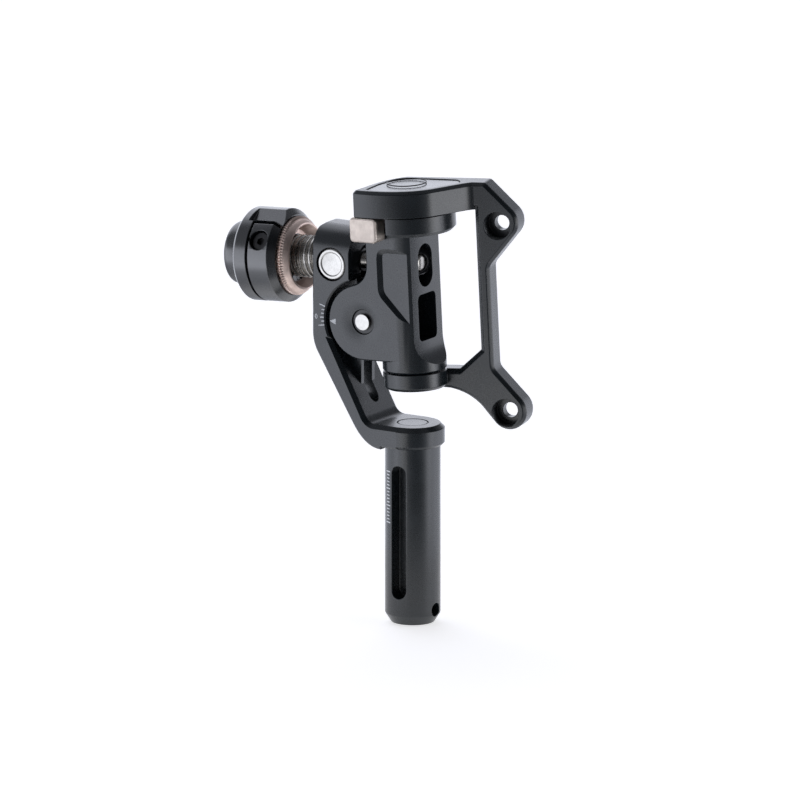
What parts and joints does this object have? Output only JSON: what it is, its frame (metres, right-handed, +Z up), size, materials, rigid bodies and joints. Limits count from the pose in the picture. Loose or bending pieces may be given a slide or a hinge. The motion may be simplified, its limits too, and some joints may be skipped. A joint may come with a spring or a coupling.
{
  "type": "gimbal stabilizer",
  "caption": "Tilting and panning support-arm joint for a gimbal stabilizer, with an arm post, screw-adjusted swing block and C-shaped mounting bracket.",
  "frame": {"origin": "centre of the arm post's bottom face", "axes": "+Z up along the post, +X towards the bracket with the adjuster knob at -X, +Y towards the bracket's flat back"},
  "size_m": [0.0918, 0.032, 0.1302],
  "materials": {
    "black_anodized": "satin",
    "steel": "polished",
    "champagne": "satin",
    "bronze": "satin",
    "bushing": "satin"
  },
  "bodies": {
    "post": {"arm_post": "black_anodized", "post_bolt": "steel", "boss_cap": "black_anodized", "yoke": "black_anodized", "tongue_bush_front": "bushing", "tongue_bush_back": "bushing"},
    "block": {"swing_block": "black_anodized", "tilt_spindle": "black_anodized", "spindle_collar": "black_anodized", "spindle_screw_front": "steel", "spindle_screw_back": "steel", "nut_bore_plug": "black_anodized", "upper_bearing_outer_race": "steel", "upper_bearing_cage": "bushing", "lower_bearing_outer_race": "steel", "lower_bearing_cage": "bushing"},
    "bracket": {"bracket": "black_anodized", "top_inlay": "black_anodized", "pan_bolt_upper": "steel", "pan_bolt_lower": "steel", "pan_spacer_upper": "bushing", "pan_spacer_lower": "bushing", "upper_bearing_inner_race": "steel", "lower_bearing_inner_race": "steel"},
    "lever": {"lock_ring": "steel", "lock_lever": "champagne"},
    "trunnion": {"trunnion_pin": "steel"},
    "adjuster": {"adjuster_screw": "steel", "thrust_collar": "steel", "serrated_ring": "bronze", "knob_body": "black_anodized", "knob_clamp_screw": "black_anodized", "knob_end_disc": "black_anodized"},
    "nut": {"trunnion_nut": "bushing"}
  },
  "joints": [
    {"name": "tilt", "type": "hinge", "parent": "post", "child": "block", "pos_m": [-0.0117, 0, 0.0884], "axis": [0, 1, 0], "range_deg": [-4, 12]},
    {"name": "pan", "type": "hinge", "parent": "block", "child": "bracket", "pos_m": [-0.00156, 0, 0.11857], "axis": [-0.0523, 0, 0.9986], "range_deg": [-114, 76]},
    {"name": "lock", "type": "hinge", "parent": "block", "child": "lever", "pos_m": [-0.00156, 0, 0.11857], "axis": [-0.0523, 0, 0.9986], "range_deg": [0, 10]},
    {"name": "trunnion_turn", "type": "hinge", "parent": "post", "child": "trunnion", "pos_m": [-0.022, 0, 0.1043], "axis": [0, 1, 0], "range_deg": [-2.4, 6.9]},
    {"name": "knob_turn", "type": "hinge", "parent": "trunnion", "child": "adjuster", "pos_m": [-0.022, 0, 0.1043], "axis": [-0.9976, 0, -0.069], "range_deg": [-202, 602]},
    {"name": "nut_turn", "type": "hinge", "parent": "block", "child": "nut", "pos_m": [-0.00089, 0, 0.10576], "axis": [0, 1, 0], "range_deg": [-5.5, 1.9]}
  ],
  "couplings": [
    {"joint": "trunnion_turn", "follows": "tilt", "ratio": 0.557},
    {"joint": "nut_turn", "follows": "tilt", "ratio": -0.443},
    {"joint": "knob_turn", "follows": "tilt", "ratio": 50}
  ]
}
